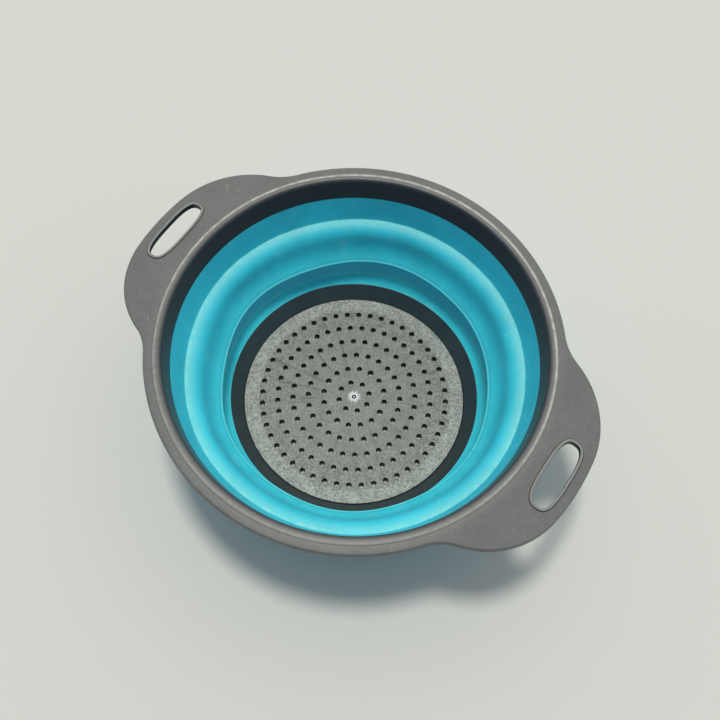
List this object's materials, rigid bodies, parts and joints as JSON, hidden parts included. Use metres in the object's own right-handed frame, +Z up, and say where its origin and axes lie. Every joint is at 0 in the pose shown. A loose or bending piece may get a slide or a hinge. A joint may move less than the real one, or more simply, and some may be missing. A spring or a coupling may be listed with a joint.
{
  "type": "collapsible strainer bowl",
  "caption": "Round strainer bowl with a perforated base plate, a stiff rim with slotted ear handles, and a soft wall that folds so that the rim pushes down flat.",
  "frame": {"origin": "on the surface the bowl stands on, below the bowl's axis", "axes": "+Z up along the bowl's axis, +X towards one ear handle"},
  "size_m": [0.2932, 0.2406, 0.0891],
  "materials": {
    "rim_plastic": "satin grey moulded plastic",
    "soft_wall": "soft turquoise moulded rubber with a low sheen",
    "base_plastic": "smooth charcoal moulded plastic",
    "plate_plastic": "matt textured grey moulded plastic"
  },
  "bodies": {
    "base": {"base_ring": "base_plastic", "strainer_plate": "plate_plastic", "wall_lower_band": "soft_wall", "wall_fold": "soft_wall"},
    "rim_body": {"rim": "rim_plastic", "wall_upper_band": "soft_wall"}
  },
  "joints": [
    {"name": "collapse", "type": "slide", "parent": "base", "child": "rim_body", "axis": [0, 0, 1], "range_m": [-0.044, 0], "deforming": ["wall_fold"]}
  ]
}
